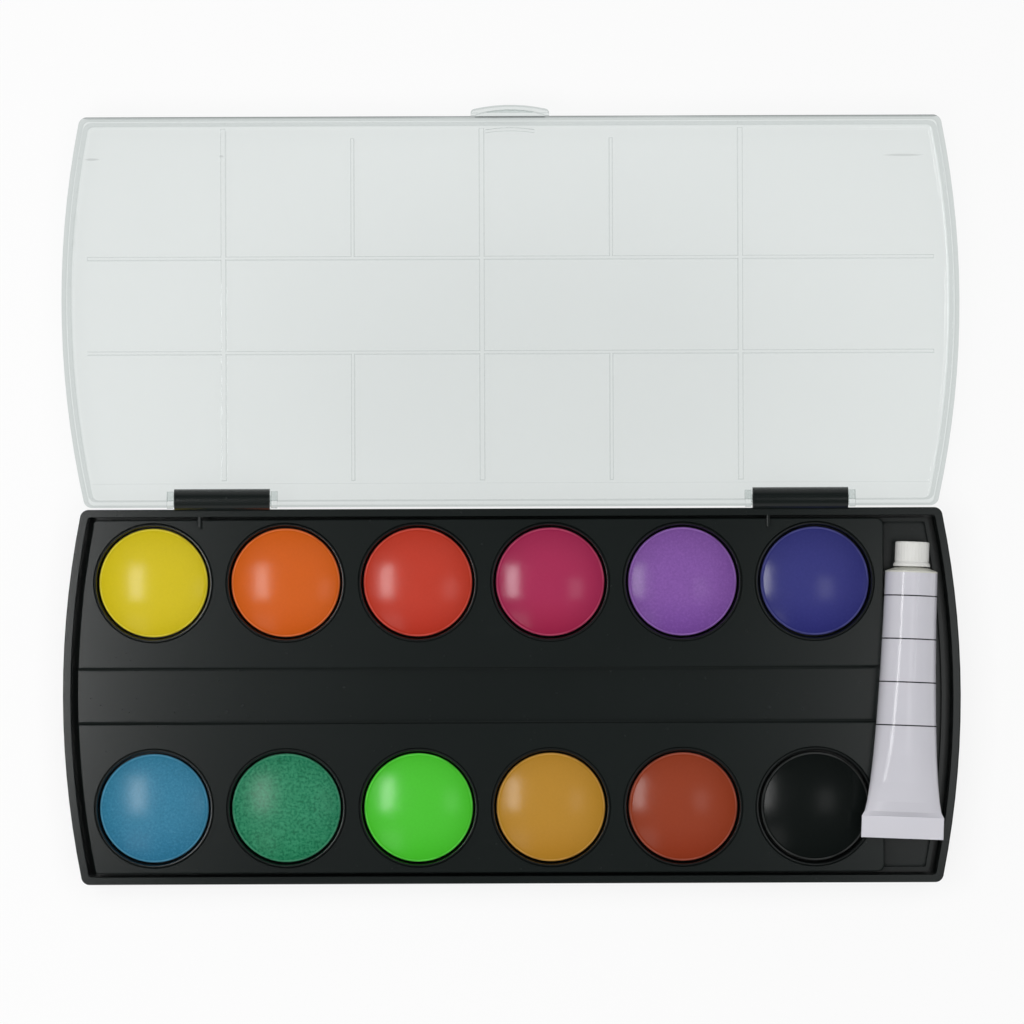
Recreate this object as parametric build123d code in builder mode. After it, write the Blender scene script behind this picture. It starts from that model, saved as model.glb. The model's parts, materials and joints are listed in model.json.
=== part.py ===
"""A flat gouache paint box: a black tray with an insert for twelve round pans, a clear lid
with mixing wells, and a tube of white paint.

Millimetres, +Z up. The origin is the centre of the tray's underside, on the table. +X runs
along the box to the right, +Y to the back, where the hinge is. The lid lies open at rest.
"""

import os
from math import cos, pi, radians, sin, sqrt, tan

from build123d import *

# ---------------------------------------------------------------- the box, seen from above
bow_radius = 238.0  # bow of both ends
corner_radius = 2.2

# ---------------------------------------------------------------- tray
tray_height = 12.0
tray_floor = 1.5
tray_draft = 2.0  # degrees, the outside narrows towards the table
tray_foot_radius = 1.4
rim_width = 1.9
rim_edge_radius = 0.3
lip_height = 1.6  # the band below the rim that stands out from the wall
lip_overhang = 0.6
mouth_draft = 1.0  # degrees, the inside narrows towards the floor
inner_corner_radius = 1.1  # corners of the mouth and the insert
stack_groove_inset = 7.0  # shallow groove round the underside
stack_groove_width = 2.0
stack_groove_depth = 0.4

# ---------------------------------------------------------------- insert
insert_side_gap = 1.7  # insert to the tray's mouth at the bowed ends
insert_edge_gap = 0.8  # and at the front and the back
insert_wall = 1.0
panel_drop = 2.2  # panels lie this far below the rim
panel_edge_radius = 0.3
panel_corner_radius = 2.0
trough_width = 14.5  # brush trough between the two panels
trough_depth = 3.0
trough_foot_radius = 0.8
bay_slack = 2.65  # tube bay wider than the tube
bay_depth = 1.4  # below the floor of the trough

# ---------------------------------------------------------------- pans of paint
pan_colours = (
    ("yellow", "orange", "red", "magenta", "violet", "ultramarine"),
    ("blue", "green", "light_green", "ochre", "brown", "black"),
)
cup_diameter = 30.2
cup_stand_out = 0.6  # cup rim above the panel
cup_wall = 0.4
cup_floor = 1.0
cup_draft = 2.0  # degrees
cup_foot_radius = 0.6
well_gap = 0.3  # cup to the wall of its well, all round
well_seat_gap = 0.1  # under the cup
well_edge_chamfer = 0.15
well_web = 3.35  # between two wells of a row
panel_left_margin = 4.275  # insert's left end to the first well, at the middle of the bow
panel_right_margin = 2.325  # last well to the tube bay
panel_front_margin = 1.45  # insert's front edge to the front row of wells
panel_back_margin = 0.85  # back row of wells to the insert's back edge
trough_front_margin = 6.3  # front row of wells to the trough
trough_back_margin = 6.6  # trough to the back row of wells
cake_gap = 0.65  # dried paint has shrunk away from the cup's wall
cake_crown_radius = 42.0
cake_stand_out = 0.2  # top of the crown above the cup's rim
cake_bevel = 0.45

# ---------------------------------------------------------------- hinges
hinge_set_back = 2.45  # axis behind the tray's back edge
hinge_spread = 149.0  # between the middles of the two knuckles
knuckle_length = 24.6
knuckle_radius = 2.84
hinge_pin_radius = 1.0
hinge_pin_length = 1.5
hinge_pin_clearance = 0.05
hinge_pin_end_gap = 0.3  # pin to the bottom of its bore
knuckle_end_gap = 0.3
ear_thickness = 1.6
ear_radius = 2.2
ear_height = 4.0  # up the lid's back wall
notch_gap = 0.5  # over the knuckle, in the lid's back wall

# ---------------------------------------------------------------- lid
parting_gap = 0.15  # lid rim to tray rim when shut
lid_wall = 1.45
lid_plate = 1.5
lid_draft = 3.0  # degrees
lid_edge_radius = 2.6  # outside, round the plate
lid_inner_radius = 1.6
lid_front_set_back = 0.4
lid_back_gap = 0.5  # lid's back wall to the tray when laid open
step_width = 6.2  # thicker strip of plate along the hinge, from the lid's back edge
step_height = 1.2
rib_height = 2.0
rib_draft = 8.0  # degrees
rib_width_long = 1.5
rib_width_short = 1.1
rib_pitch = 33.5
rib_count = 5
rib_shift = -0.3  # middle of the ribs, from the middle of the wells
rib_end_inset = 5.9  # ends of the lengthwise ribs, in from the bowed ends
strip_width = 24.5  # middle strip of wells, between the two lengthwise ribs
strip_centre = 0.45
cross_rib_inset = 2.4  # ends of the full cross ribs, in from the front and back edges
short_rib_inset = 5.0  # ends of the short ones

# ---------------------------------------------------------------- latch on the lid's front
latch_width = 20.2
latch_reach = 2.7
latch_corner_reach = 1.5
latch_corner_radius = 1.1
latch_skin = 1.1
latch_drop = 2.4  # below the lid's rim
latch_rise = 5.3  # above the lid's rim
latch_clearance = 0.3
latch_bead_width = 12.0
latch_bead_height = 0.7
latch_root = 0.8  # how deep the latch runs into the lid's wall
brace_width = 12.7  # low curved brace on the plate behind the latch
brace_height = 3.0
brace_thickness = 0.8
brace_inset = 3.0
brace_bow = 0.5

# ---------------------------------------------------------------- hold-down pegs
peg_spread = 146.7  # between the two, about the middle of the wells
peg_radius = 0.55
peg_overlap = 1.9  # over the insert's back edge
peg_clearance = 0.1

# ---------------------------------------------------------------- tube of white
tube_diameter = 13.5
tube_length = 62.8  # shoulder to the start of the fold
tube_skin = 0.25
tube_paint_gap = 0.3
tube_paint_stop = 1.2  # the paint ends this far before the fold
tube_yaw = 2.3  # degrees, tail towards the pans
tube_pitch = 2.0  # degrees, tail up
tube_seat_gap = 0.42
tube_side_gap = 0.25  # tail to the bay's right wall, at the middle of the bow
tube_cap_gap = 5.25  # cap to the bay's back wall
tube_sections = (0, 0.2, 0.4, 0.6, 0.75, 0.86, 0.94, 0.98, 1)  # shares of the length
tube_taper_start = 1.7  # power that keeps the tube round near its shoulder
tube_taper_end = 3.4  # root that closes it over a short stretch at the tail
tube_girth_power = 1.7  # keeps the girth nearly even between round and flat
fold_length = 5.6
fold_thickness = 1.0
fold_edge_radius = 0.3
shoulder_height = 1.3
shoulder_edge = 0.4
neck_radius = 4.3
nozzle_radius = 3.1
nozzle_length = 5.2
nozzle_bore = 1.5
cap_radius = 4.4
cap_flare = 0.35
cap_flare_height = 0.9
cap_length = 6.4
cap_clearance = 0.08
cap_seat_gap = 0.3
cap_edge_radius = 0.2
cap_groove_stop = 0.4  # grooves end this far below the cap's top
cap_groove_count = 24
cap_groove_radius = 0.22

# ---------------------------------------------------------------- worked out from the above
insert_side_inset = rim_width + insert_side_gap
insert_edge_inset = rim_width + insert_edge_gap
cup_radius = cup_diameter / 2
well_radius = cup_radius + well_gap
well_diameter = 2 * well_radius
pan_columns = len(pan_colours[0])
pan_pitch = well_diameter + well_web
bay_width = tube_diameter + bay_slack
wells_length = pan_columns * pan_pitch - well_web
insert_width = panel_left_margin + wells_length + panel_right_margin + bay_width
insert_depth = (
    panel_front_margin
    + well_diameter
    + trough_front_margin
    + trough_width
    + trough_back_margin
    + well_diameter
    + panel_back_margin
)
box_width = insert_width + 2 * insert_side_inset  # over the two bowed ends
box_depth = insert_depth + 2 * insert_edge_inset  # straight front edge to straight back edge
half_depth = box_depth / 2
bay_start = insert_width / 2 - bay_width
wells_middle = (bay_start - panel_right_margin) - wells_length / 2
front_row_y = -insert_depth / 2 + panel_front_margin + well_radius
back_row_y = insert_depth / 2 - panel_back_margin - well_radius
trough_front = front_row_y + well_radius + trough_front_margin
trough_back = trough_front + trough_width
panel_z = tray_height - panel_drop
trough_z = panel_z - trough_depth
bay_z = trough_z - bay_depth
cup_seat_z = tray_floor + insert_wall + well_seat_gap
cup_rim_z = panel_z + cup_stand_out
hinge_y = half_depth + hinge_set_back
hinge_z = tray_height
lid_rim_z = tray_height + parting_gap
lid_top_z = 2 * hinge_z  # laid open, the plate lies on the table
lid_ceiling_z = lid_top_z - lid_plate
lid_front = -half_depth + lid_front_set_back
lid_back = 2 * hinge_y - half_depth - lid_back_gap


def bowed_outline(side_inset, front, back, corner):
    """The box's plan: straight front and back edges, bowed ends and rounded corners."""
    half_width = box_width / 2 - side_inset
    radius = bow_radius - side_inset
    with BuildSketch() as plan:
        with Locations((0, (front + back) / 2)):
            Rectangle(2 * half_width, back - front)
        for side in (-1, 1):
            with Locations((side * (half_width - radius), 0)):
                Circle(radius, mode=Mode.INTERSECT)
        fillet(plan.vertices(), corner)
    return plan.sketch


def tray_outline(side_inset, edge_inset, corner):
    """The tray's plan, drawn in from its ends and from its front and back."""
    return bowed_outline(side_inset, edge_inset - half_depth, half_depth - edge_inset, corner)


def lid_outline(inset, corner):
    """The shut lid's plan, drawn in by the same amount all round."""
    return bowed_outline(inset, lid_front + inset, lid_back - inset, corner)


# ================================================================ tray
rim_plan = tray_outline(0, 0, corner_radius)
wall_plan = tray_outline(lip_overhang, lip_overhang, corner_radius)
mouth_plan = tray_outline(rim_width, rim_width, inner_corner_radius)
groove_outer = tray_outline(stack_groove_inset, stack_groove_inset, corner_radius)
groove_inner_inset = stack_groove_inset + stack_groove_width
groove_inner = tray_outline(groove_inner_inset, groove_inner_inset, corner_radius)
knuckle_places = [(side * hinge_spread / 2, hinge_y, hinge_z) for side in (-1, 1)]
knuckle_ends = [(x + end * knuckle_length / 2, end) for x, _, _ in knuckle_places for end in (-1, 1)]
rim_middle = half_depth - rim_width / 2
peg_tip = half_depth - insert_edge_inset - peg_overlap
peg_z = panel_z + peg_clearance + peg_radius

with BuildPart() as base_tray:
    # drafted wall below the lip, rounded where it meets the table
    with BuildSketch(Plane.XY.offset(tray_height - lip_height)):
        add(wall_plan)
    extrude(amount=lip_height - tray_height, taper=tray_draft)
    fillet(base_tray.faces().sort_by(Axis.Z)[0].edges(), tray_foot_radius)
    # lip round the rim
    with BuildSketch(Plane.XY.offset(tray_height - lip_height)):
        add(rim_plan)
    extrude(amount=lip_height)
    fillet(base_tray.faces().sort_by(Axis.Z)[-1].edges(), rim_edge_radius)
    # drafted mouth down to the floor, where the insert stands
    with BuildSketch(Plane.XY.offset(tray_height)):
        add(mouth_plan)
    extrude(amount=tray_floor - tray_height, taper=mouth_draft, mode=Mode.SUBTRACT)
    # stacking groove round the underside
    with BuildSketch():
        add(groove_outer)
        add(groove_inner, mode=Mode.SUBTRACT)
    extrude(amount=stack_groove_depth, mode=Mode.SUBTRACT)
    # webs that carry the hinge knuckles on the back wall
    for x, y, z in knuckle_places:
        with Locations((x, (rim_middle + y) / 2, z - knuckle_radius / 2)):
            Box(knuckle_length, y - rim_middle, knuckle_radius)
    # knuckles, bored at both ends for the stub pins of the lid
    with Locations(*knuckle_places):
        Cylinder(knuckle_radius, knuckle_length, rotation=(0, 90, 0))
    with Locations(*[(x, hinge_y, hinge_z) for x, _ in knuckle_ends]):
        bore_span = 2 * (hinge_pin_length + hinge_pin_end_gap)
        bore_radius = hinge_pin_radius + hinge_pin_clearance
        Cylinder(bore_radius, bore_span, rotation=(0, 90, 0), mode=Mode.SUBTRACT)
    # pegs on the back wall that hold the insert down
    for x in (wells_middle - peg_spread / 2, wells_middle + peg_spread / 2):
        with Locations((x, (rim_middle + peg_tip) / 2, peg_z)):
            Cylinder(peg_radius, rim_middle - peg_tip, rotation=(90, 0, 0))
        with Locations((x, peg_tip, peg_z)):
            Sphere(peg_radius)
base_tray.part.label = "base_tray"

# ================================================================ insert
insert_plan = tray_outline(insert_side_inset, insert_edge_inset, inner_corner_radius)
hollow_plan = tray_outline(
    insert_side_inset + insert_wall, insert_edge_inset + insert_wall, inner_corner_radius / 2
)
far = box_width  # beyond every edge of the box
pan_places = [
    (wells_middle + (column - (pan_columns - 1) / 2) * pan_pitch, row_y)
    for row_y in (back_row_y, front_row_y)
    for column in range(pan_columns)
]


def plan_part(outline, x_low, x_high, y_low, y_high):
    """The part of a plan that lies between two X and two Y positions."""
    with BuildSketch() as plan:
        add(outline)
        with Locations(((x_low + x_high) / 2, (y_low + y_high) / 2)):
            Rectangle(x_high - x_low, y_high - y_low, mode=Mode.INTERSECT)
    return plan.sketch


def panel_plan(y_low, y_high):
    """A raised panel beside the trough, with round corners at the tube bay."""
    with BuildSketch() as plan:
        add(plan_part(insert_plan, -far, bay_start, y_low, y_high))
        fillet(plan.vertices().group_by(Axis.X)[-1], panel_corner_radius)
    return plan.sketch


panel_bands = ((trough_back, far), (-far, trough_front))

with BuildPart() as trough_coves:
    # quarter-round coves where the trough's floor meets the panels
    for edge_y, side in ((trough_back, -1), (trough_front, 1)):
        cove_x = (bay_start - panel_corner_radius - far) / 2
        cove_length = bay_start - panel_corner_radius + far
        cove_middle = edge_y + side * trough_foot_radius / 2
        with Locations((cove_x, cove_middle, trough_z + trough_foot_radius / 2)):
            Box(cove_length, trough_foot_radius, trough_foot_radius)
        with Locations((cove_x, edge_y + side * trough_foot_radius, trough_z + trough_foot_radius)):
            Cylinder(trough_foot_radius, cove_length, rotation=(0, 90, 0), mode=Mode.SUBTRACT)
    with BuildSketch(Plane.XY.offset(trough_z)):
        add(insert_plan)
    extrude(amount=trough_depth, mode=Mode.INTERSECT)

with BuildPart() as pan_insert:
    # slab up to the trough's floor, and the two panels raised on it
    with BuildSketch(Plane.XY.offset(tray_floor)):
        add(insert_plan)
    extrude(amount=trough_z - tray_floor)
    for low, high in panel_bands:
        with BuildSketch(Plane.XY.offset(trough_z)):
            add(panel_plan(low, high))
        extrude(amount=trough_depth)
    fillet(pan_insert.faces().filter_by(Axis.Z).group_by(Axis.Z)[-1].edges(), panel_edge_radius)
    add(trough_coves.part)
    # tube bay, sunk below the trough's floor inside a low wall
    with BuildSketch(Plane.XY.offset(bay_z)):
        add(plan_part(hollow_plan, bay_start, far, -far, far))
    extrude(amount=bay_depth, mode=Mode.SUBTRACT)
    # wells for the pans
    with BuildSketch(Plane.XY.offset(tray_floor + insert_wall)):
        with Locations(*pan_places):
            Circle(well_radius)
    extrude(amount=panel_z - tray_floor - insert_wall, mode=Mode.SUBTRACT)
    well_mouths = pan_insert.faces().filter_by(Axis.Z).group_by(Axis.Z)[-1].edges()
    chamfer(well_mouths.filter_by(GeomType.CIRCLE).filter_by(
        lambda edge: abs(edge.radius - well_radius) < well_gap / 2
    ), well_edge_chamfer)
    # hollow underside: below the panels round the wells, below the trough, below the bay
    with BuildSketch(Plane.XY.offset(tray_floor)):
        for low, high in ((trough_back + insert_wall, far), (-far, trough_front - insert_wall)):
            add(plan_part(hollow_plan, -far, bay_start - insert_wall, low, high))
        with Locations(*pan_places):
            Circle(well_radius + insert_wall, mode=Mode.SUBTRACT)
    extrude(amount=panel_z - insert_wall - tray_floor, mode=Mode.SUBTRACT)
    with BuildSketch(Plane.XY.offset(tray_floor)):
        add(plan_part(hollow_plan, -far, bay_start - insert_wall, trough_front, trough_back))
    extrude(amount=trough_z - insert_wall - tray_floor, mode=Mode.SUBTRACT)
    with BuildSketch(Plane.XY.offset(tray_floor)):
        add(plan_part(hollow_plan, bay_start, far, -far, far))
    extrude(amount=bay_z - insert_wall - tray_floor, mode=Mode.SUBTRACT)
pan_insert.part.label = "pan_insert"

# ================================================================ pans: a cup and its cake
cup_height = cup_rim_z - cup_seat_z
cup_inner_radius = cup_radius - cup_wall
cup_inner_height = cup_height - cup_floor
cake_base_z = cup_seat_z + cup_floor
cake_radius = cup_inner_radius - cake_gap
cake_top_z = cup_rim_z + cake_stand_out
crown_half_width = cake_radius - cake_bevel
crown_edge_z = cake_top_z - cake_crown_radius + sqrt(cake_crown_radius**2 - crown_half_width**2)
cake_shoulder_z = crown_edge_z - cake_bevel
cake_base_radius = cake_radius - (cake_shoulder_z - cake_base_z) * tan(radians(cup_draft))


def make_cup(x, y):
    """A thin round plastic cup, open at the top, standing in its well."""
    with BuildPart() as cup:
        with BuildSketch(Plane((x, y, cup_rim_z))):
            Circle(cup_radius)
        extrude(amount=-cup_height, taper=cup_draft)
        fillet(cup.faces().sort_by(Axis.Z)[0].edges(), cup_foot_radius)
        with BuildSketch(Plane((x, y, cup_rim_z))):
            Circle(cup_inner_radius)
        extrude(amount=-cup_inner_height, taper=cup_draft, mode=Mode.SUBTRACT)
    return cup.part


def make_cake(x, y):
    """The dried paint in a cup: tapered like the cup, crowned, with a bevelled edge."""
    with BuildPart() as cake:
        with BuildSketch(Plane.XZ):
            with BuildLine():
                Polyline(
                    (0, cake_base_z),
                    (cake_base_radius, cake_base_z),
                    (cake_radius, cake_shoulder_z),
                    (crown_half_width, crown_edge_z),
                )
                RadiusArc((crown_half_width, crown_edge_z), (0, cake_top_z), -cake_crown_radius)
                Line((0, cake_top_z), (0, cake_base_z))
            make_face()
        revolve(axis=Axis.Z)
    return cake.part.moved(Location((x, y, 0)))


names = [name for row in pan_colours for name in row]
pans = {name: (make_cup(x, y), make_cake(x, y)) for name, (x, y) in zip(names, pan_places)}

# ================================================================ lid, modelled shut
rib_middle = wells_middle + rib_shift
rib_places = [rib_middle + (i - (rib_count - 1) / 2) * rib_pitch for i in range(rib_count)]
strip_edges = (strip_centre - strip_width / 2, strip_centre + strip_width / 2)
ear_places = [x + end * (knuckle_end_gap + ear_thickness / 2) for x, end in knuckle_ends]
pin_span = hinge_pin_length + knuckle_end_gap + ear_thickness
notch_top = hinge_z + knuckle_radius + notch_gap
notch_width = knuckle_length + 2 * knuckle_end_gap
latch_top = lid_rim_z + latch_rise
latch_foot = lid_rim_z - latch_drop

# each rib as its lowest and highest X and Y
rib_half_length = box_width / 2 - rib_end_inset
rib_back = half_depth - cross_rib_inset
ribs = [
    (-rib_half_length, rib_half_length, y - rib_width_short / 2, y + rib_width_short / 2)
    for y in strip_edges
]
for number, x in enumerate(rib_places):
    if number % 2 == 0:  # from the front wall to the back
        low, high = x - rib_width_long / 2, x + rib_width_long / 2
        ribs.append((low, high, lid_front + cross_rib_inset, rib_back))
    else:  # skips the middle strip
        low, high = x - rib_width_short / 2, x + rib_width_short / 2
        ribs.append((low, high, lid_front + short_rib_inset, strip_edges[0]))
        ribs.append((low, high, strip_edges[1], rib_back))


def latch_plan(inset):
    """The latch from above: a shallow bow with rounded corners, in front of the lid."""
    half = latch_width / 2 - inset
    root = lid_front + latch_root
    with BuildSketch() as plan:
        with BuildLine():
            left = (-half, lid_front - latch_corner_reach + inset)
            right = (half, lid_front - latch_corner_reach + inset)
            Polyline(left, (-half, root), (half, root), right)
            ThreePointArc(right, (0, lid_front - latch_reach + inset), left)
        make_face()
        fillet(plan.vertices().group_by(Axis.Y)[0], latch_corner_radius - inset / 2)
    return plan.sketch


with BuildPart() as lid_hollow:
    # the drafted space inside the lid, rounded round the plate
    with BuildSketch(Plane.XY.offset(lid_rim_z)):
        add(lid_outline(lid_wall, corner_radius))
    extrude(amount=lid_ceiling_z - lid_rim_z, taper=lid_draft)
    fillet(lid_hollow.faces().sort_by(Axis.Z)[-1].edges(), lid_inner_radius)

with BuildPart() as shut_lid:
    # drafted shell with rounded edges
    with BuildSketch(Plane.XY.offset(lid_rim_z)):
        add(lid_outline(0, corner_radius))
    extrude(amount=lid_top_z - lid_rim_z, taper=lid_draft)
    fillet(shut_lid.faces().sort_by(Axis.Z)[-1].edges(), lid_edge_radius)
    add(lid_hollow.part, mode=Mode.SUBTRACT)
    # thicker strip of plate along the hinge
    with BuildSketch(Plane.XY.offset(lid_ceiling_z)):
        add(plan_part(lid_outline(lid_wall, corner_radius), -far, far, lid_back - step_width, far))
    extrude(amount=-step_height, taper=lid_draft)
    # drafted ribs on the plate that part the mixing wells
    for x_low, x_high, y_low, y_high in ribs:
        with BuildSketch(Plane.XY.offset(lid_ceiling_z)):
            with Locations(((x_low + x_high) / 2, (y_low + y_high) / 2)):
                Rectangle(x_high - x_low, y_high - y_low)
        extrude(amount=-rib_height, taper=rib_draft)
    # notches for the knuckles in the back wall
    for x, y, _ in knuckle_places:
        with Locations((x, (y + far) / 2 - ear_radius, (lid_rim_z + notch_top) / 2)):
            Box(notch_width, far - y, notch_top - lid_rim_z, mode=Mode.SUBTRACT)
    # ears on both sides of each notch
    for x in ear_places:
        with BuildSketch(Plane.YZ.offset(x - ear_thickness / 2)):
            with Locations((hinge_y, hinge_z)):
                Circle(ear_radius)
            ear_back = lid_back - lid_wall / 2
            ear_middle = (hinge_y - ear_radius + ear_back) / 2
            with Locations((ear_middle, hinge_z + ear_height / 2)):
                Rectangle(ear_back - hinge_y + ear_radius, ear_height)
        extrude(amount=ear_thickness)
    # stub pins on the ears, which reach into the knuckles
    for x, end in knuckle_ends:
        with Locations((x + end * (pin_span / 2 - hinge_pin_length), hinge_y, hinge_z)):
            Cylinder(hinge_pin_radius, pin_span, rotation=(0, 90, 0))
    # latch: a bowed skirt closed at the top by a web, hanging over the front of the tray
    with BuildSketch(Plane.XY.offset(latch_top - latch_skin)):
        add(latch_plan(0))
    extrude(amount=latch_skin)
    with BuildSketch(Plane.XY.offset(lid_rim_z)):
        add(latch_plan(0))
        add(latch_plan(latch_skin), mode=Mode.SUBTRACT)
    extrude(amount=latch_rise - latch_skin)
    skirt_back = -half_depth - latch_clearance
    with BuildSketch(Plane.XY.offset(latch_foot)):
        add(plan_part(latch_plan(0), -far, far, -far, skirt_back))
        add(latch_plan(latch_skin), mode=Mode.SUBTRACT)
    extrude(amount=latch_drop)
    # bead inside the skirt's foot
    with BuildSketch(Plane.XY.offset(latch_foot)):
        add(plan_part(latch_plan(0), -latch_bead_width / 2, latch_bead_width / 2, -far, skirt_back))
    extrude(amount=latch_bead_height)
    # low curved brace on the plate behind the latch
    brace_y = lid_front + brace_inset
    with BuildSketch(Plane.XY.offset(lid_ceiling_z)):
        with BuildLine():
            half = brace_width / 2
            ThreePointArc((-half, brace_y), (0, brace_y - brace_bow), (half, brace_y))
            Line((half, brace_y), (half, brace_y + brace_thickness))
            inner_y = brace_y + brace_thickness
            ThreePointArc((half, inner_y), (0, inner_y - brace_bow), (-half, inner_y))
            Line((-half, inner_y), (-half, brace_y))
        make_face()
    extrude(amount=-brace_height)

# the finished moulding, laid open about the hinge
with BuildPart() as lid:
    add(shut_lid.part.rotate(Axis((0, hinge_y, hinge_z), (1, 0, 0)), 180))
lid.part.label = "lid"

# ================================================================ tube of white
tube_radius = tube_diameter / 2
fold_width = pi * tube_radius
cap_foot = shoulder_height + cap_seat_gap
tail_x = insert_width / 2 - insert_wall - tube_side_gap - fold_width / 2
tube_x = tail_x + (tube_length + fold_length) * sin(radians(tube_yaw))
tube_y = insert_depth / 2 - insert_wall - tube_cap_gap - cap_length - cap_foot
tube_z = bay_z + tube_seat_gap + tube_radius
# the tube's own frame: Z runs from the shoulder along the axis to the tail, Y is upright
toward_tail = (
    -sin(radians(tube_yaw)) * cos(radians(tube_pitch)),
    -cos(radians(tube_yaw)) * cos(radians(tube_pitch)),
    sin(radians(tube_pitch)),
)
across = (cos(radians(tube_yaw)), -sin(radians(tube_yaw)), 0)
tube_plane = Plane((tube_x, tube_y, tube_z), x_dir=across, z_dir=toward_tail)
lengthwise_plane = Plane(tube_plane.origin, x_dir=tube_plane.x_dir, z_dir=tube_plane.y_dir)
turning_axis = Axis(tube_plane.origin, -tube_plane.z_dir)


def tube_section(share, inset):
    """Half width and half height of the tube: round at the shoulder, then pressed flat
    towards the tail with the same girth all the way."""
    flatness = (1 - share**tube_taper_start) ** (1 / tube_taper_end)
    half_height = max(tube_radius * flatness, fold_thickness / 2)
    roundness = (half_height / tube_radius) ** tube_girth_power
    half_width = tube_radius * (pi / 2 - (pi / 2 - 1) * roundness)
    return half_width - inset, half_height - inset


with BuildPart() as tube_hollow:
    # ends short of the fold, where the two skins lie on each other
    for share in tube_sections[:-1]:
        with BuildSketch(tube_plane.offset(share * tube_length)):
            Ellipse(*tube_section(share, tube_skin))
    loft(ruled=True)

with BuildPart() as tube_body:
    for share in tube_sections:
        with BuildSketch(tube_plane.offset(share * tube_length)):
            Ellipse(*tube_section(share, 0))
    loft(ruled=True)
    add(tube_hollow.part, mode=Mode.SUBTRACT)
    # the tail, folded over flat
    with BuildSketch(tube_plane.offset(tube_length)):
        RectangleRounded(fold_width, fold_thickness, fold_edge_radius)
    extrude(amount=fold_length)
tube_body.part.label = "tube_body"

with BuildPart() as tube_paint:
    paint_inset = tube_skin + tube_paint_gap
    paint_length = tube_length - tube_paint_stop
    for share in tube_sections[:-1]:
        with BuildSketch(tube_plane.offset(tube_paint_gap + share * paint_length)):
            Ellipse(*tube_section(share, paint_inset))
    loft(ruled=True)
tube_paint.part.label = "tube_paint"

with BuildPart() as tube_shoulder:
    with BuildSketch(lengthwise_plane):
        with BuildLine():
            nozzle_top = shoulder_height + nozzle_length
            Polyline(
                (nozzle_bore, 0),
                (tube_radius, 0),
                (tube_radius, shoulder_edge),
                (neck_radius, shoulder_height),
                (nozzle_radius, shoulder_height),
                (nozzle_radius, nozzle_top),
                (nozzle_bore, nozzle_top),
                close=True,
            )
        make_face()
    revolve(axis=turning_axis)
tube_shoulder.part.label = "tube_shoulder"

with BuildPart() as tube_cap:
    cap_ceiling = nozzle_top + cap_seat_gap
    with BuildSketch(tube_plane.offset(-cap_foot)):
        Circle(cap_radius)
    extrude(amount=-cap_length)
    # grip grooves, which stop at the flared foot
    with BuildSketch(tube_plane.offset(-cap_foot)):
        with PolarLocations(cap_radius, cap_groove_count):
            Circle(cap_groove_radius)
    extrude(amount=cap_groove_stop - cap_length, mode=Mode.SUBTRACT)
    with BuildSketch(tube_plane.offset(-cap_foot)):
        Circle(cap_radius + cap_flare)
    extrude(amount=-cap_flare_height)
    with BuildSketch(tube_plane.offset(-cap_foot)):
        Circle(nozzle_radius + cap_clearance)
    extrude(amount=cap_foot - cap_ceiling, mode=Mode.SUBTRACT)
    cap_end = tube_cap.faces().sort_by(turning_axis)[-1]
    fillet(cap_end.edges(), cap_edge_radius)
tube_cap.part.label = "tube_cap"

# ================================================================ one file for each piece
os.makedirs("parts", exist_ok=True)
for name, (cup, cake) in pans.items():
    cup.label = f"pan_cup_{name}"
    cake.label = f"paint_cake_{name}"
    export_step(cup, f"parts/{cup.label}.step")
    export_step(cake, f"parts/{cake.label}.step")
export_step(base_tray.part, "parts/base_tray.step")
export_step(pan_insert.part, "parts/pan_insert.step")
export_step(lid.part, "parts/lid.step")
export_step(tube_body.part, "parts/tube_body.step")
export_step(tube_paint.part, "parts/tube_paint.step")
export_step(tube_shoulder.part, "parts/tube_shoulder.step")
export_step(tube_cap.part, "parts/tube_cap.step")
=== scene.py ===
"""A flat gouache paint box with twelve round pans, an open clear lid and a tube of white.

Metres, +Z up, in the frame of the CAD model, which this file dresses and never changes.
"""
import json
from math import cos, pi, radians, sin

import bmesh
import bpy
from mathutils import Matrix, Vector


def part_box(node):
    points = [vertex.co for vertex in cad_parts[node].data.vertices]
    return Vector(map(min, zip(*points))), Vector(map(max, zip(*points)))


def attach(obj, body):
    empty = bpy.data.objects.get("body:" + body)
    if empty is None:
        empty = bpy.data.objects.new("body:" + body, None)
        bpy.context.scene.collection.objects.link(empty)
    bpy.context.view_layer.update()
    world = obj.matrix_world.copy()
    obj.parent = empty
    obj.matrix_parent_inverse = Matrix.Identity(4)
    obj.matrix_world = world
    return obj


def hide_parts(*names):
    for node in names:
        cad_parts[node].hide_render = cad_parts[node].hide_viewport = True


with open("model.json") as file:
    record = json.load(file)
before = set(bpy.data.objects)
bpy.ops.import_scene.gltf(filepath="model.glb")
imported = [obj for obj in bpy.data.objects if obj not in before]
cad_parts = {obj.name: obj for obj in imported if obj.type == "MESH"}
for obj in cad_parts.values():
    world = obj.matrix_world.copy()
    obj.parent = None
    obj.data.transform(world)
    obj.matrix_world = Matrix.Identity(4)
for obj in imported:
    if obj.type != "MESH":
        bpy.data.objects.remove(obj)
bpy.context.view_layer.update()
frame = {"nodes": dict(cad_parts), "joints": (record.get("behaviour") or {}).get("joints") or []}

nodes = frame["nodes"]


# ------------------------------------------------------------------ the tray
# A shallow tray of black polystyrene, injection moulded in one piece with its two hinge
# knuckles and the pegs that hold the insert. The mould's fine spark-eroded grain gives it a
# satin skin, and handling leaves a little dust and faint rubs on it.

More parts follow.
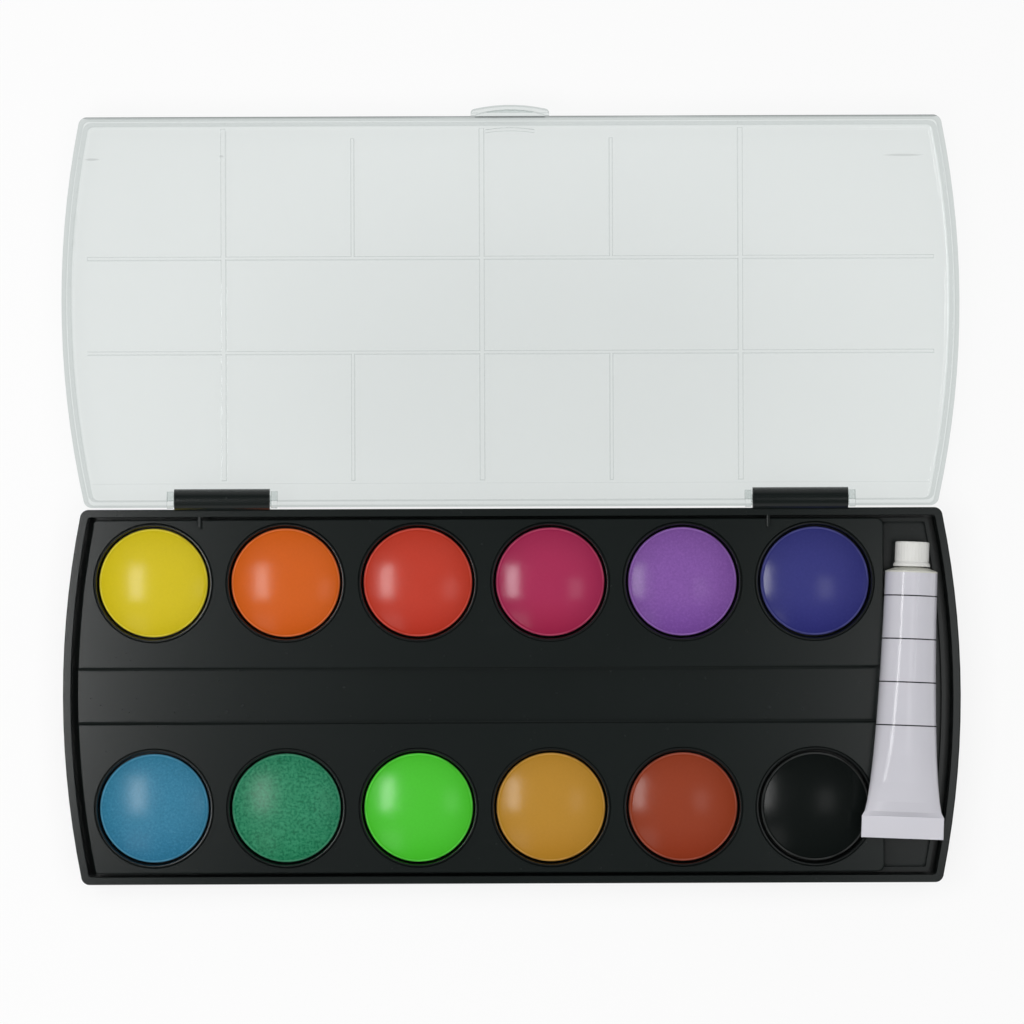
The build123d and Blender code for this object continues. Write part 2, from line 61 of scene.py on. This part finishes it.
class Amount:
    """A value that changes over a surface, written in sums like any number."""

    def __init__(self, wires, socket):
        self.wires = wires
        self.socket = socket

    def sum_of(self, operation, *terms):
        settings = {"operation": operation}
        return self.wires.node("ShaderNodeMath", settings, dict(enumerate(terms)))

    def __add__(self, other):
        return self.sum_of("ADD", self, other)

    def __sub__(self, other):
        return self.sum_of("SUBTRACT", self, other)

    def __rsub__(self, other):
        return self.sum_of("SUBTRACT", other, self)

    def __mul__(self, other):
        return self.sum_of("MULTIPLY", self, other)

    def __truediv__(self, other):
        return self.sum_of("DIVIDE", self, other)

    def __rtruediv__(self, other):
        return self.sum_of("DIVIDE", other, self)

    def __pow__(self, other):
        return self.sum_of("POWER", self, other)

    def __mod__(self, other):
        return self.sum_of("FLOORED_MODULO", self, other)

    def __gt__(self, other):
        return self.sum_of("GREATER_THAN", self, other)

    def __lt__(self, other):
        return self.sum_of("LESS_THAN", self, other)

    __radd__ = __add__
    __rmul__ = __mul__


class Wires:
    """A tree of nodes: node adds one, its settings first and then what its sockets take."""

    def __init__(self, tree):
        self.tree = tree
        self.tree.nodes.clear()

    def node(self, kind, settings=None, sockets=None, out=0):
        new = self.tree.nodes.new(kind)
        for name, value in (settings or {}).items():
            setattr(new, name, value)
        for name, value in (sockets or {}).items():
            if isinstance(value, Amount):
                self.tree.links.new(value.socket, new.inputs[name])
            else:
                new.inputs[name].default_value = value
        return Amount(self, new.outputs[out]) if new.outputs else None

    def vector(self, operation, *terms, out=0):
        """That vector operation on the terms."""
        settings = {"operation": operation}
        return self.node("ShaderNodeVectorMath", settings, dict(enumerate(terms)), out)

    def step(self, value, start, end, low=0.0, high=1.0):
        """low up to start, high from end on, and smooth between them."""
        settings = {"interpolation_type": "SMOOTHSTEP"}
        sockets = {0: value, 1: start, 2: end, 3: low, 4: high}
        return self.node("ShaderNodeMapRange", settings, sockets)


class Finish(Wires):
    """One material of the paint box and the nodes that its look is made of."""

    def __init__(self, name):
        self.material = bpy.data.materials.new(name)
        self.material.use_nodes = True
        super().__init__(self.material.node_tree)

    def place(self, centre=(0, 0, 0)):
        """Where a point of the piece is, from centre."""
        return self.vector("SUBTRACT", self.node("ShaderNodeTexCoord", out="Object"), centre)

    def noise(self, size, where=None, detail=2.0, rough=0.5, stretch=None):
        """Soft noise from 0 to 1 whose blots are about size metres across."""
        where = where or self.place()
        if stretch:
            where = self.vector("MULTIPLY", where, stretch)
        sockets = {"Vector": where, "Scale": 1 / size, "Detail": detail, "Roughness": rough}
        return self.node("ShaderNodeTexNoise", None, sockets)

    def mix(self, share, first, second):
        """first, and as much of the colour second as share says."""
        first, second = [c if isinstance(c, Amount) else (*c, 1.0)[:4] for c in (first, second)]
        sockets = {0: share, 6: first, 7: second}
        return self.node("ShaderNodeMix", {"data_type": "RGBA"}, sockets, out=2)

    def bump(self, height, depth):
        """Bumps of that depth in metres, where height goes from 0 to 1."""
        sockets = {"Height": height, "Distance": depth, "Strength": 1.0}
        return self.node("ShaderNodeBump", None, sockets)

    def shader(self, colour, roughness, **sockets):
        """A Principled shader of that colour and roughness."""
        colour = colour if isinstance(colour, Amount) else (*colour, 1.0)[:4]
        named = {name.replace("_", " "): value for name, value in sockets.items()}
        sockets = {"Base Color": colour, "Roughness": roughness, **named}
        return self.node("ShaderNodeBsdfPrincipled", None, sockets)

    def done(self, shader):
        """The material, with that shader as its surface."""
        self.node("ShaderNodeOutputMaterial", None, {"Surface": shader})
        return self.material


def dress(node, finish):
    """Gives a CAD node its finish."""
    mesh = nodes[node].data
    mesh.materials.clear()
    mesh.materials.append(finish)


polystyrene_ior = 1.59
grain_size = 0.00035
grain_depth = 0.000004
dust_size = 0.0009
dust_colour = (0.12, 0.12, 0.12)
rub_length = 0.012
rub_colour = (0.09, 0.09, 0.09)


def satin_black(name, colour, shine, grain, corner_shade_width=0.0):
    """Black polystyrene whose satin skin has that roughness and grain of the depth given. Its
    gloss is a coat, and painted shade takes most of that coat away in corners and at the foot of
    walls, over the width given last."""
    f = Finish(name)
    cloud = f.noise(0.021, detail=3.0)
    smears = f.noise(rub_length, stretch=(1.0, 7.0, 1.0), detail=5.0, rough=0.65)
    rubs = f.step(smears, 0.62, 0.74)
    dust = f.step(f.noise(dust_size, detail=0.0), 0.845, 0.87)
    base = f.mix(cloud, [c * 0.88 for c in colour], [c * 1.15 for c in colour])
    base = f.mix(dust * 0.10, base, dust_colour)
    base = f.mix(rubs * 0.04, base, rub_colour)
    gloss = 1.0 - rubs * 0.15 - dust * 0.2
    # painted shade: where ambient occlusion finds walls close by, the coat is thinned, which
    # darkens corners and the foot of walls
    if corner_shade_width:
        ao = {"samples": 6, "only_local": True}
        openness = f.node("ShaderNodeAmbientOcclusion", ao, {"Distance": corner_shade_width}, out="AO")
        gloss = gloss * f.step(openness, 0.50, 0.88, 0.12, 1.0)
    return f.done(f.shader(
        base, 0.6, Specular_IOR_Level=0.0, Coat_Weight=gloss, Coat_Roughness=shine,
        Coat_IOR=polystyrene_ior, Normal=f.bump(f.noise(grain_size), grain)))


moulded_shine = 0.23
dress("base_tray", satin_black("black_tray", (0.0094, 0.0125, 0.0119), moulded_shine, grain_depth))


# ------------------------------------------------------------------ the insert
# A second moulding of the same black polystyrene with twelve round wells, the brush trough
# and the bay for the tube. It is snapped into the tray under the two pegs.
insert_black = (0.0092, 0.0123, 0.0117)
# how far from a wall the painted shade in the insert's corners reaches
corner_shade_reach = 0.0011
dress("pan_insert", satin_black(
    "black_insert", insert_black, moulded_shine, grain_depth, corner_shade_reach))


# ------------------------------------------------------------------ the pans
# Twelve loose cups of thin black polystyrene, each filled with gouache that was poured in
# wet. As it dried it drew in from the cup's wall and crowned, with a sharp shiny edge and a
# slightly uneven skin. A cake is turned from its profile, like every round piece here.
cup_finish = satin_black("black_cup", (0.0070, 0.0088, 0.0086), 0.25, 0.000003)

cake_crown_radius = 0.042
cake_bevel = 0.00045
cake_base_share = 0.974  # width of the cake's underside, against its width at the top
cake_rings = 24  # from the cake's middle to its edge
skin_unevenness = 0.000018
skin_blot = 0.0045
facets = 128
sharp_angle = 35  # degrees


def turning_tree():
    """Nodes that turn a profile, drawn as a curve in X and Z, round the Z axis: with ribs
    pressed into its side, or with a skin that is uneven by a little."""
    tree = bpy.data.node_groups.new("turned_piece", "GeometryNodeTree")
    g = Wires(tree)
    sockets = (
        ("Profile", "NodeSocketGeometry"), ("Facets", "NodeSocketInt"),
        ("Rib Count", "NodeSocketInt"), ("Rib Depth", "NodeSocketFloat"),
        ("Rib Foot", "NodeSocketFloat"), ("Rib Top", "NodeSocketFloat"),
        ("Rib Radius", "NodeSocketFloat"), ("Unevenness", "NodeSocketFloat"),
        ("Blot Size", "NodeSocketFloat"), ("Seed", "NodeSocketFloat"),
        ("Finish", "NodeSocketMaterial"),
    )
    for name, kind in sockets:
        tree.interface.new_socket(name=name, in_out="INPUT", socket_type=kind)
    tree.interface.new_socket(name="Piece", in_out="OUTPUT", socket_type="NodeSocketGeometry")
    entry = tree.nodes.new("NodeGroupInput")
    given = {name: Amount(g, entry.outputs[name]) for name, _ in sockets}

    of_curve = {"component": "CURVE"}
    sockets = {0: given["Profile"]}
    points = g.node("GeometryNodeAttributeDomainSize", of_curve, sockets, out="Point Count")
    grid = {"Size X": 1.0, "Size Y": 1.0, "Vertices X": points, "Vertices Y": given["Facets"] + 1}
    sheet = g.node("GeometryNodeMeshGrid", None, grid)
    at = g.node("GeometryNodeInputPosition")
    on_sheet = [g.node("ShaderNodeSeparateXYZ", None, {0: at}, out=axis) for axis in "XY"]
    index = (on_sheet[0] + 0.5) * (points - 1)
    index = index.sum_of("ROUND", index)
    turn = (on_sheet[1] + 0.5) * (2 * pi)
    by_point = {"data_type": "FLOAT_VECTOR", "domain": "POINT"}
    sample = {"Geometry": given["Profile"], "Value": at, "Index": index}
    drawn = g.node("GeometryNodeSampleIndex", by_point, sample)
    radius, height = [g.node("ShaderNodeSeparateXYZ", None, {0: drawn}, out=axis) for axis in "XZ"]
    on_side = (height > given["Rib Foot"]) * (height < given["Rib Top"])
    on_side = (radius > given["Rib Radius"]) * on_side
    wave = turn * given["Rib Count"]
    radius = radius - on_side * given["Rib Depth"] * (wave.sum_of("COSINE", wave) * 0.5 + 0.5)
    across = radius * turn.sum_of("COSINE", turn)
    along = radius * turn.sum_of("SINE", turn)
    spun = g.node("ShaderNodeCombineXYZ", None, {0: across, 1: along, 2: height})
    shape = g.node("GeometryNodeSetPosition", None, {"Geometry": sheet, "Position": spun})
    shape = g.node("GeometryNodeMergeByDistance", None, {"Geometry": shape, "Distance": 0.000002})
    normal = g.node("GeometryNodeInputNormal")
    upward = g.step(g.node("ShaderNodeSeparateXYZ", None, {0: normal}, out="Z"), 0.80, 0.97)
    blots = g.node("ShaderNodeTexNoise", {"noise_dimensions": "4D"}, {
        "Vector": at, "W": given["Seed"], "Scale": 1 / given["Blot Size"], "Detail": 1.0})
    sunk = g.node("ShaderNodeVectorMath", {"operation": "SCALE"}, {
        0: normal, "Scale": (blots - 1.0) * upward * given["Unevenness"]})
    shape = g.node("GeometryNodeSetPosition", None, {"Geometry": shape, "Offset": sunk})
    shape = g.node("GeometryNodeRealizeInstances", None, {0: shape})
    painted = {"Geometry": shape, "Material": given["Finish"]}
    shape = g.node("GeometryNodeSetMaterial", None, painted)
    g.node("NodeGroupOutput", None, {"Piece": shape})
    return tree


turning = turning_tree()


def turned(name, profile, finish, place, **sizes):
    """A closed piece turned from a profile of (radius, height) points, which runs from the
    middle of its top outwards and back in below, and set in its place."""
    line = bpy.data.curves.new(name, "CURVE")
    line.dimensions = "3D"
    run = line.splines.new("POLY")
    run.points.add(len(profile) - 1)
    for point, (radius, height) in zip(run.points, profile):
        point.co = (radius, 0, height, 1)
    blank = bpy.data.objects.new(name + "_profile", line)
    bpy.context.collection.objects.link(blank)
    modifier = blank.modifiers.new("turning", "NODES")
    modifier.node_group = turning
    given = {"Facets": facets, "Blot_Size": skin_blot, "Finish": finish, **sizes}
    for socket in turning.interface.items_tree:
        asked = socket.name.replace(" ", "_")
        if asked in given:
            modifier[socket.identifier] = given[asked]
    settled = blank.evaluated_get(bpy.context.evaluated_depsgraph_get())
    mesh = bpy.data.meshes.new_from_object(settled)
    bpy.data.objects.remove(blank)
    bm = bmesh.new()
    bm.from_mesh(mesh)
    bmesh.ops.recalc_face_normals(bm, faces=bm.faces)
    bm.to_mesh(mesh)
    bm.free()
    mesh.transform(place)
    mesh.shade_smooth()
    mesh.set_sharp_from_angle(angle=radians(sharp_angle))
    mesh.name = name
    piece = bpy.data.objects.new(name, mesh)
    bpy.context.collection.objects.link(piece)
    return piece


def dried_paint(name, colour, grain, speck, shine, ior, paint_shade_amount):
    """Dried gouache: grain is how much light and dark grain it shows, of about speck metres, shine
    and ior its gloss, and the last how much painted shade darkens the colour towards the cake's
    front and its rim. A lighter ring painted just inside the rim is a painted highlight on the
    cake's bevel."""
    f = Finish("paint_" + name)
    low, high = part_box("paint_cake_" + name)
    centre = (low + high) / 2
    radius = (high.x - low.x) / 2
    where = f.place((centre.x, centre.y, 0.0))
    from_centre = f.vector("LENGTH", f.vector("MULTIPLY", where, (1.0, 1.0, 0.0)), out="Value")
    frontward = f.node("ShaderNodeSeparateXYZ", None, {0: where}, out="Y") * -1.0
    outward = f.step(from_centre, radius * 0.35, radius)
    cloud = f.noise(0.009, where, detail=3.0, rough=0.6)
    specks = f.noise(speck, where, detail=2.0, rough=0.6)
    mottle = f.noise(0.0024, where)
    shaded_tone = tuple(c * c / max(colour) * 0.55 + c * 0.35 for c in colour)
    light = tuple(min(1.0, c * 1.25 + 0.02) for c in colour)
    base = f.mix(cloud * 0.14, colour, tuple(c * 0.80 for c in colour))
    # painted shade: the colour goes to a darker, deeper tone towards the cake's front and to a
    # darker one towards its rim
    base = f.mix(f.step(frontward, 0.002, radius) * paint_shade_amount, base, shaded_tone)
    base = f.mix(outward * paint_shade_amount * 0.6, base, tuple(c * 0.62 for c in colour))
    base = f.mix(f.step(specks, 0.50, 0.68) * grain, base, light)
    base = f.mix(f.step(specks, 0.50, 0.32) * grain, base, tuple(c * 0.6 for c in colour))
    # painted highlight: a lighter ring just inside the rim, patchy along its length, for the light
    # on the cake's bevel
    edge = f.step(from_centre, radius - 0.00060, radius - 0.00046)
    edge = edge * f.step(from_centre, radius - 0.00014, radius - 0.00004, 1.0, 0.0)
    ring_patchiness = f.step(f.noise(0.006, where), 0.30, 0.60, 0.45, 0.95)
    base = f.mix(edge * ring_patchiness, base, tuple(min(1.0, c * 1.45 + 0.06) for c in colour))
    rough = shine + (mottle - 0.5) * 0.06 + (specks - 0.5) * grain * 0.2
    height = mottle * 0.5 + specks * (0.15 + grain)
    return f.done(f.shader(base, rough, IOR=ior, Normal=f.bump(height, 0.000022)))


def seen(red, green, blue):
    """A colour as paint makers give it, 0 to 255, in the light's own measure."""
    return tuple(
        ((v / 255 + 0.055) / 1.055) ** 2.4 if v > 10 else v / 255 / 12.92
        for v in (red, green, blue))


paints = {  # colour, grain, speck, shine, ior and painted shade
    "yellow": (seen(215, 194, 30), 0.05, 0.0006, 0.19, 1.36, 0.08),
    "orange": (seen(214, 97, 25), 0.05, 0.0006, 0.20, 1.39, 0.12),
    "red": (seen(197, 60, 41), 0.05, 0.0006, 0.20, 1.47, 0.28),
    "magenta": (seen(172, 45, 86), 0.04, 0.0006, 0.17, 1.48, 0.45),
    "violet": (seen(134, 88, 168), 0.24, 0.0006, 0.19, 1.36, 0.50),
    "ultramarine": (seen(56, 58, 128), 0.10, 0.0006, 0.19, 1.48, 0.50),
    "blue": (seen(51, 126, 158), 0.30, 0.0006, 0.25, 1.43, 0.30),
    "green": (seen(37, 130, 92), 0.90, 0.0007, 0.28, 1.40, 0.30),
    "light_green": (seen(75, 203, 46), 0.06, 0.0006, 0.21, 1.50, 0.10),
    "ochre": (seen(188, 137, 45), 0.06, 0.0006, 0.20, 1.40, 0.15),
    "brown": (seen(151, 62, 35), 0.06, 0.0006, 0.20, 1.40, 0.22),
    "black": (seen(17, 21, 20), 0.06, 0.0006, 0.24, 1.36, 0.30),
}
cup_profile = [  # millimetres, with the small turned-out lip that the pan is lifted by
    (0.0, 1.0), (14.40, 1.0), (14.47, 1.07), (14.69, 7.50), (14.72, 7.68), (14.79, 7.78),
    (14.86, 7.8), (15.08, 7.8), (15.28, 7.60), (15.33, 7.52), (15.33, 7.38), (15.26, 7.30),
    (15.08, 7.22), (14.85, 0.50), (14.72, 0.20), (14.50, 0.04), (14.25, 0.0), (0.0, 0.0),
]
for number, (name, look) in enumerate(paints.items()):
    low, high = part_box("pan_cup_" + name)
    cup = turned(
        "cup_" + name, [(r / 1000, z / 1000) for r, z in cup_profile], cup_finish,
        Matrix.Translation(((low.x + high.x) / 2, (low.y + high.y) / 2, low.z)))
    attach(cup, "pan_" + name)
    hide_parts("pan_cup_" + name)
    low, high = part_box("paint_cake_" + name)
    radius = (high.x - low.x) / 2
    crown_edge = radius - cake_bevel
    drop = cake_crown_radius - (cake_crown_radius ** 2 - crown_edge ** 2) ** 0.5
    top = high.z - low.z
    rings = [crown_edge * ring / cake_rings for ring in range(cake_rings + 1)]
    crown = [(r, top - cake_crown_radius + (cake_crown_radius ** 2 - r * r) ** 0.5) for r in rings]
    side = [
        (radius - cake_bevel * 0.08, top - drop - cake_bevel * 0.85),
        (radius, top - drop - cake_bevel * 1.10),
        (radius * cake_base_share, 0.0),
        (0.0, 0.0),
    ]
    finish = dried_paint(name, *look)
    cake = turned(
        "cake_" + name, crown + side, finish,
        Matrix.Translation(((low.x + high.x) / 2, (low.y + high.y) / 2, low.z)),
        Unevenness=skin_unevenness, Seed=float(number))
    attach(cake, "pan_" + name)
    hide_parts("paint_cake_" + name)
    "paint_" + name


# ------------------------------------------------------------------ the lid
# A clear lid of general-purpose polystyrene with ribs that part its inside into mixing
# wells. It is glossy all over, with the light grey-green cast of that plastic, darker where
# the eye looks along a wall, and use has left a few scuffs on the plate.
rim_edge = 0.14955  # outside of the rim on the latch side
scuff_marks = (  # middle and half length of each dash, on the plate near the latch side
    ((0.1021, 0.1398), 0.0055),
    ((-0.1085, 0.1393), 0.0021),
    ((-0.0749, 0.1400), 0.0007),
)
scuff_half_width = 0.00035
haze_middle = (0.01, 0.078, 0.0)


def clear_polystyrene():
    """Thin clear plastic: what is behind it shows through a tint that deepens along the eye's
    slant, under a gloss that is stronger there too."""
    f = Finish("clear_lid")
    where = f.place()
    slant = f.node("ShaderNodeLayerWeight", None, {"Blend": 0.5}, out="Facing")
    clear = f.node("ShaderNodeBsdfTransparent", None, {"Color": (0.938, 0.957, 0.952, 1.0)})
    hazy = f.node("ShaderNodeBsdfTransparent", None, {"Color": (0.872, 0.892, 0.887, 1.0)})
    edge_on = f.node("ShaderNodeBsdfTransparent", None, {"Color": (0.60, 0.63, 0.625, 1.0)})
    # the tint of the painted shade line along the rim and of the scuffs
    shade_and_scuff_tint = f.node("ShaderNodeBsdfTransparent", None, {"Color": (0.30, 0.32, 0.32, 1.0)})
    flat = f.vector("MULTIPLY", f.vector("SUBTRACT", where, haze_middle), (1.0, 1.6, 0.0))
    haze = f.step(f.vector("LENGTH", flat, out="Value"), 0.02, 0.12, 0.55, 0.05)
    haze = haze + f.noise(0.03, where, detail=4.0) * 0.15
    through = f.node("ShaderNodeMixShader", None, {0: haze, 1: clear, 2: hazy})
    through = f.node("ShaderNodeMixShader", None, {0: slant ** 3.0, 1: through, 2: edge_on})
    # painted shade: a thin dark line along the outside of the rim on the latch side, patchy along
    # its length, stands for the dark line that refraction in the rim's wall shows; the scuffs'
    # dark dashes go on the same mask
    back = f.node("ShaderNodeSeparateXYZ", None, {0: where}, out="Y")
    dark = f.step(back, rim_edge - 0.00036, rim_edge - 0.00022)
    dark = dark * f.step(back, rim_edge + 0.0001, rim_edge + 0.0002, 1.0, 0.0)
    dark = dark * f.step(f.noise(0.05, where), 0.25, 0.55, 0.20, 0.58)
    for (x, y), half_length in scuff_marks:
        shrink = (1 / half_length, 1 / scuff_half_width, 0.0)
        off = f.vector("MULTIPLY", f.vector("SUBTRACT", where, (x, y, 0.0)), shrink)
        dark = dark + f.step(f.vector("LENGTH", off, out="Value"), 0.5, 1.1, 0.13, 0.0)
    through = f.node("ShaderNodeMixShader", None, {0: dark, 1: through, 2: shade_and_scuff_tint})
    scuffs = f.step(f.noise(0.004, where, detail=4.0, rough=0.7), 0.66, 0.76)
    gloss = f.shader((0.93, 0.95, 0.95), 0.03 + scuffs * 0.15, Metallic=1.0)
    glint = 0.045 + 0.45 * slant ** 5.0
    return f.done(f.node("ShaderNodeMixShader", None, {0: glint, 1: through, 2: gloss}))


dress("lid", clear_polystyrene())


# ------------------------------------------------------------------ the tube of white
# A small tube of opaque white laminate with a glossy lacquer and black printed rules, its
# tail folded over. The shoulder and nozzle are natural polyethylene, and the screw cap is
# white polypropylene with faint grip ribs above a flared foot.
cap_turn = next(joint for joint in frame["joints"] if joint["name"] == "cap_turn")
tube_start = Vector(cap_turn["pos_m"])
to_cap = Vector(cap_turn["axis"]).normalized()
rule_pitch = 0.01112
first_rule = 0.00595  # from the shoulder
rule_width = 0.00034
rules_end = 0.042
lacquer_ior = 1.5

cap_foot = 0.0016  # from the shoulder's plane to the cap
cap_length = 0.0064
cap_radius = 0.0044
flare_radius = 0.00475
flare_height = 0.0009
cap_bore = 0.00318
cap_bore_depth = 0.0052
cap_facets = 192
rib_count = 32
rib_depth = 0.00006


def lacquered_tube():
    """White lacquer with its printed rules, a few soft dents and one crease at the shoulder."""
    f = Finish("tube_laminate")
    where = f.place()
    down = f.vector("DOT_PRODUCT", f.place(tube_start), -to_cap, out="Value")
    on_tube = (down > 0.001) * (down < rules_end)
    phase = (down - (first_rule - rule_pitch / 2)) % rule_pitch - rule_pitch / 2
    off_rule = phase.sum_of("ABSOLUTE", phase)
    ink = on_tube * f.step(off_rule, rule_width * 0.35, rule_width * 0.65, 1.0, 0.0)
    cloud = f.noise(0.018, where)
    base = f.mix(cloud, seen(208, 207, 215), seen(219, 218, 225))
    base = f.mix(ink, base, seen(38, 38, 42))
    dents = f.noise(0.007, where, stretch=(1.0, 0.45, 1.0))
    across = f.vector("DOT_PRODUCT", f.place(tube_start), to_cap.cross((0, 0, 1)), out="Value")
    crease = f.step(across + (dents - 0.5) * 0.0004, 0.0011, 0.0017)
    crease = crease * f.step(down, 0.016, 0.032, 1.0, 0.0)
    height = dents * 0.00005 + crease * 0.00018
    return f.done(f.shader(base, 0.13 + cloud * 0.06, IOR=lacquer_ior, Normal=f.bump(height, 1.0)))


def plain_white(name, colour, shine):
    """A white plastic or paint of that colour and roughness, faintly clouded."""
    f = Finish(name)
    cloud = f.noise(0.005, detail=3.0)
    base = f.mix(cloud, [c * 0.96 for c in colour], colour)
    skin = f.bump(f.noise(0.0004), grain_depth)
    return f.done(f.shader(base, shine + (cloud - 0.5) * 0.08, IOR=lacquer_ior, Normal=skin))


dress("tube_body", lacquered_tube())
dress("tube_paint", plain_white("white_paint", seen(240, 240, 238), 0.5))
dress("tube_shoulder", plain_white("tube_shoulder", seen(212, 212, 202), 0.30))

round_over = [(1 - cos(radians(a)), sin(radians(a))) for a in (90, 60, 30, 0)]
cap_edge = 0.0004
ring_groove = 0.00008
cap_profile = [(0.0, cap_length)]
cap_profile += [
    (cap_radius - cap_edge * a, cap_length - cap_edge * (1 - b)) for a, b in round_over]
cap_profile += [
    (cap_radius, cap_length - 0.0006),
    (cap_radius, flare_height + 0.0010),
    (cap_radius, flare_height + 0.00055),
    (cap_radius - ring_groove, flare_height + 0.00045),
    (cap_radius - ring_groove, flare_height + 0.00030),
    (cap_radius + 0.00005, flare_height + 0.00015),
    (flare_radius - 0.0001, flare_height - 0.00015),
    (flare_radius, flare_height - 0.0003),
    (flare_radius, 0.0001),
    (flare_radius - 0.0001, 0.0),
    (cap_bore, 0.0),
    (cap_bore, cap_bore_depth),
    (0.0, cap_bore_depth),
]
upright = to_cap.to_track_quat("Z", "Y").to_matrix().to_4x4()
cap = turned(
    "screw_cap", cap_profile, plain_white("tube_cap", seen(232, 232, 228), 0.35),
    Matrix.Translation(tube_start + to_cap * cap_foot) @ upright,
    Facets=cap_facets, Rib_Count=rib_count, Rib_Depth=rib_depth, Rib_Foot=flare_height + 0.0008,
    Rib_Top=cap_length - 0.0005, Rib_Radius=cap_bore + 0.0005)
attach(cap, "tube_cap")
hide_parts("tube_cap")


# ------------------------------------------------------------------ the table, light and camera
# The box lies on a plain white table, under one near softbox and three weaker ones, with the
# camera high above it, looking straight down.
table_half = 3.0
table_level = -0.0003  # just under the tray, so that the two flat faces don't share a plane
table_mesh = bpy.data.meshes.new("table")
corners = (
    (-table_half, -table_half), (table_half, -table_half),
    (table_half, table_half), (-table_half, table_half),
)
table_mesh.from_pydata([(x, y, table_level) for x, y in corners], [], [(0, 1, 2, 3)])
table_top = bpy.data.objects.new("table", table_mesh)
bpy.context.collection.objects.link(table_top)
f = Finish("white_table")
board = f.node("ShaderNodeBsdfDiffuse", None, {"Color": (0.93, 0.93, 0.93, 1.0)})
glow = f.node("ShaderNodeEmission", None, {"Strength": 1.0})
card = f.node("ShaderNodeMixShader", None, {0: 0.17, 1: glow, 2: board})
eye = f.node("ShaderNodeLightPath", out="Is Camera Ray")
for kind in ("Is Glossy Ray", "Is Transmission Ray"):
    eye = eye.sum_of("MAXIMUM", eye, f.node("ShaderNodeLightPath", out=kind))
both = f.node("ShaderNodeMixShader", None, {0: eye, 1: board, 2: card})
table_mesh.materials.append(f.done(both))

scene = bpy.context.scene
scene.world = bpy.data.worlds.new("studio")
scene.world.use_nodes = True
sky = Wires(scene.world.node_tree)
direction = sky.node("ShaderNodeTexCoord", out="Generated")
height = sky.node("ShaderNodeSeparateXYZ", None, {0: direction}, out="Z")
walls = sky.node("ShaderNodeBackground", None, {"Strength": 0.45})
above = sky.node("ShaderNodeBackground", None, {"Strength": 0.02})
overhead = sky.step(height, 0.30, 0.75)
around = sky.node("ShaderNodeMixShader", None, {0: overhead, 1: walls, 2: above})
seen_white = sky.node("ShaderNodeBackground", None, {"Strength": 1.0})
eye = sky.node("ShaderNodeLightPath", out="Is Camera Ray")
both = sky.node("ShaderNodeMixShader", None, {0: eye, 1: around, 2: seen_white})
sky.node("ShaderNodeOutputWorld", None, {"Surface": both})

lamps = {  # place, size and radiance
    "softbox_near": ((-0.208, 0.030, 0.415), (0.080, 0.185), 7.5),
    "softbox_front": ((-0.290, -0.380, 0.660), (0.220, 0.220), 0.9),
    "softbox_right": ((0.155, -0.014, 0.415), (0.080, 0.115), 1.1),
    "ceiling": ((0.0, 0.050, 2.400), (3.0, 3.0), 1.95),
}
for name, (at, size, radiance) in lamps.items():
    lamp = bpy.data.lights.new(name, "AREA")
    lamp.shape = "RECTANGLE"
    lamp.size, lamp.size_y = size
    lamp.energy = radiance * pi * size[0] * size[1]
    lamp_object = bpy.data.objects.new(name, lamp)
    bpy.context.collection.objects.link(lamp_object)
    lamp_object.location = at
    lamp_object.visible_glossy = name != "ceiling"

camera_height = 1.6
camera_over = (0.0002, 0.04745)
camera_roll = -0.2  # degrees
view_width = 0.26427
subject_height = 0.010
camera = bpy.data.cameras.new("camera")
camera.sensor_width = 36.0
camera.lens = camera.sensor_width * (camera_height - subject_height) / view_width
camera.clip_end = 10.0
camera_object = bpy.data.objects.new("camera", camera)
bpy.context.collection.objects.link(camera_object)
camera_object.location = (*camera_over, camera_height)
camera_object.rotation_euler = (0, 0, radians(camera_roll))
scene.camera = camera_object
scene.view_settings.view_transform = "Standard"
